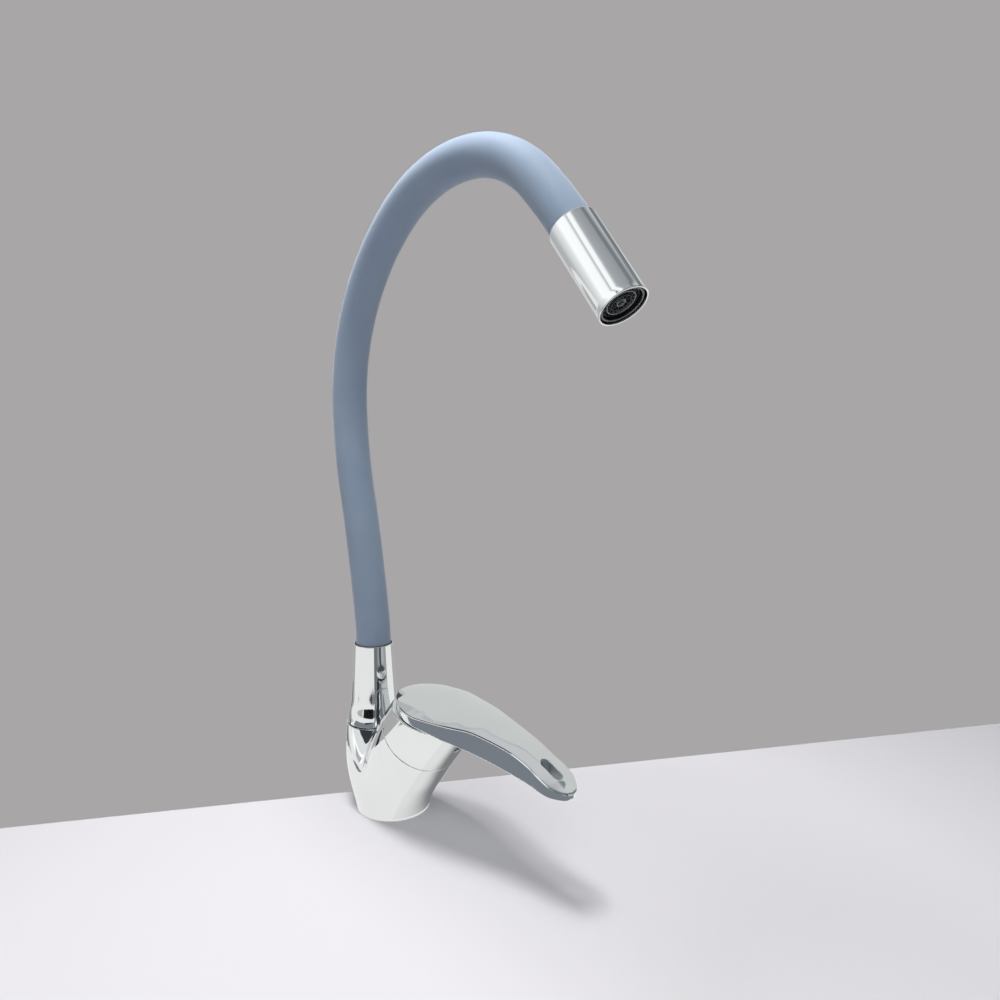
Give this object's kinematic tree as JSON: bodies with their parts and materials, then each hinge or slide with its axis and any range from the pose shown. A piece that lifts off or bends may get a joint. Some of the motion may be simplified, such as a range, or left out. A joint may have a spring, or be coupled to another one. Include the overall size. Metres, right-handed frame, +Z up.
{
  "type": "flexible kitchen faucet",
  "caption": "Single-lever kitchen faucet with a bendable silicone-covered neck, chrome swivel base, flat oval lever blade and aerator outlet.",
  "frame": {"origin": "centre of the round foot, in the plane of its underside, where it stands on the sink deck", "axes": "+Z up, +X the way the lever and the outlet point, +Y to the left of somebody who looks along +X"},
  "size_m": [0.2577, 0.0552, 0.49],
  "materials": {
    "chrome_plate": "polished mirror chrome plate",
    "black_rubber": "matte moulded rubber",
    "brass": "machined brass",
    "steel": "plain stainless steel",
    "core_steel": "dull spring steel",
    "blue_grey_silicone": "matte blue-grey silicone",
    "clear_hose": "milky flexible hose",
    "white_nylon": "matte moulded nylon",
    "black_plastic": "matte moulded plastic",
    "ceramic": "lapped white ceramic",
    "grey_plug": "satin grey moulded plug"
  },
  "bodies": {
    "base": {"body": "chrome_plate", "base_gasket": "black_rubber", "mounting_stud": "brass", "clamp_washer": "black_rubber", "clamp_plate": "steel", "clamp_nut": "brass", "cartridge_base": "white_nylon", "seal_hot": "black_rubber", "seal_cold": "black_rubber", "seal_outlet": "black_rubber", "fixed_disc": "ceramic", "cartridge_housing": "white_nylon", "retaining_nut": "brass", "guide_ring": "white_nylon", "thrust_ring": "white_nylon", "swivel_seal_lower": "black_rubber", "swivel_seal_upper": "black_rubber", "swivel_clip": "steel"},
    "turret": {"turret": "chrome_plate", "index_plug": "grey_plug", "cartridge_carrier": "black_plastic", "stem_pin": "steel"},
    "lever": {"lever": "chrome_plate", "lever_screw": "steel", "cartridge_stem": "brass", "dust_slide": "black_plastic"},
    "slider": {"moving_disc": "ceramic"},
    "spout": {"spout_cone": "chrome_plate", "collar_seal": "black_rubber", "neck_ferrule_lower": "brass", "neck_core_0": "core_steel", "water_tube_0": "clear_hose"},
    "neck_1": {"neck_core_1": "core_steel", "water_tube_1": "clear_hose", "neck_sleeve_1": "blue_grey_silicone"},
    "neck_2": {"neck_core_2": "core_steel", "water_tube_2": "clear_hose", "neck_sleeve_2": "blue_grey_silicone"},
    "neck_3": {"neck_core_3": "core_steel", "water_tube_3": "clear_hose", "neck_sleeve_3": "blue_grey_silicone"},
    "head": {"neck_core_4": "core_steel", "water_tube_4": "clear_hose", "neck_sleeve_4": "blue_grey_silicone", "neck_ferrule_upper": "brass", "outlet_sleeve": "chrome_plate", "outlet_washer": "black_rubber", "aerator_housing": "black_plastic", "aerator_screen": "steel", "aerator_insert": "black_plastic"}
  },
  "joints": [
    {"name": "lever_turn", "type": "hinge", "parent": "base", "child": "turret", "pos_m": [0.0314, 0, 0.0602], "axis": [0.6428, 0, 0.766], "range_deg": [-45, 45]},
    {"name": "lever_lift", "type": "hinge", "parent": "turret", "child": "lever", "pos_m": [0.0224, 0, 0.04947], "axis": [0, -1, 0], "range_deg": [0, 24]},
    {"name": "disc_slide", "type": "slide", "parent": "turret", "child": "slider", "axis": [0.766, 0, -0.6428], "range_m": [0, 0.006]},
    {"name": "spout_swivel", "type": "hinge", "parent": "base", "child": "spout", "pos_m": [-0.0219, 0, 0.0545], "axis": [0, 0, 1], "continuous": true},
    {"name": "neck_bend_1", "type": "hinge", "parent": "spout", "child": "neck_1", "pos_m": [-0.03326, 0, 0.18795], "axis": [0, 1, 0], "range_deg": [-25, 12], "deforming": ["neck_sleeve_1"]},
    {"name": "neck_bend_2", "type": "hinge", "parent": "neck_1", "child": "neck_2", "pos_m": [-0.04668, 0, 0.29588], "axis": [0, 1, 0], "range_deg": [-25, 16], "deforming": ["neck_sleeve_2"]},
    {"name": "neck_bend_3", "type": "hinge", "parent": "neck_2", "child": "neck_3", "pos_m": [0.00098, 0, 0.38881], "axis": [0, 1, 0], "range_deg": [-25, 20], "deforming": ["neck_sleeve_3"]},
    {"name": "neck_bend_4", "type": "hinge", "parent": "neck_3", "child": "head", "pos_m": [0.09568, 0, 0.4129], "axis": [0, 1, 0], "range_deg": [-25, 20], "deforming": ["neck_sleeve_4"]}
  ],
  "couplings": [
    {"joint": "disc_slide", "follows": "lever_lift", "m_per_rad": 0.014295}
  ]
}
